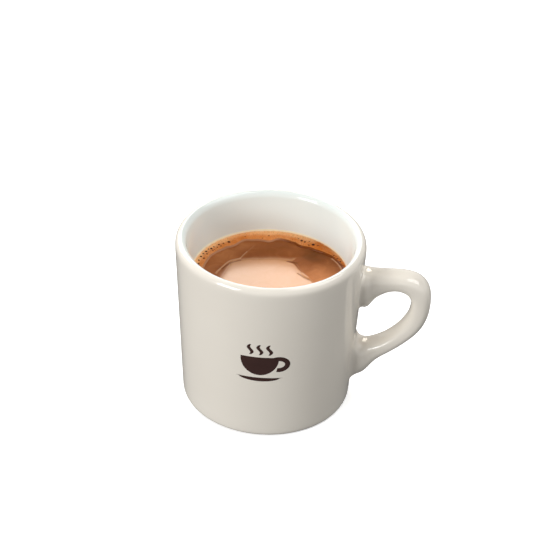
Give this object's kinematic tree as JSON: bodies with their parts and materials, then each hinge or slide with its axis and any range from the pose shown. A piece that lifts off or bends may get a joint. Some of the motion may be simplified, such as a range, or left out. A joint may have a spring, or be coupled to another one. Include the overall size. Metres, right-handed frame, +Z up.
{
  "type": "hot chocolate",
  "caption": "Straight-sided white diner mug with a thick lip and an ear-shaped handle, filled with frothy hot chocolate.",
  "frame": {"origin": "middle of the footprint, handle included, on the surface the mug stands on", "axes": "+X towards the handle, +Z up, -Y towards the front of the mug"},
  "size_m": [0.1084, 0.08, 0.0776],
  "materials": {
    "glazed_china": "glossy white glaze, bare clay on the foot ring",
    "chocolate_drink": "wet, glossy milk chocolate brown with a thin skin",
    "milk_froth": "moist fine foam, light caramel brown with darker bubbles"
  },
  "bodies": {
    "root": {"mug": "glazed_china", "hot_chocolate": "chocolate_drink", "froth": "milk_froth"}
  },
  "joints": []
}
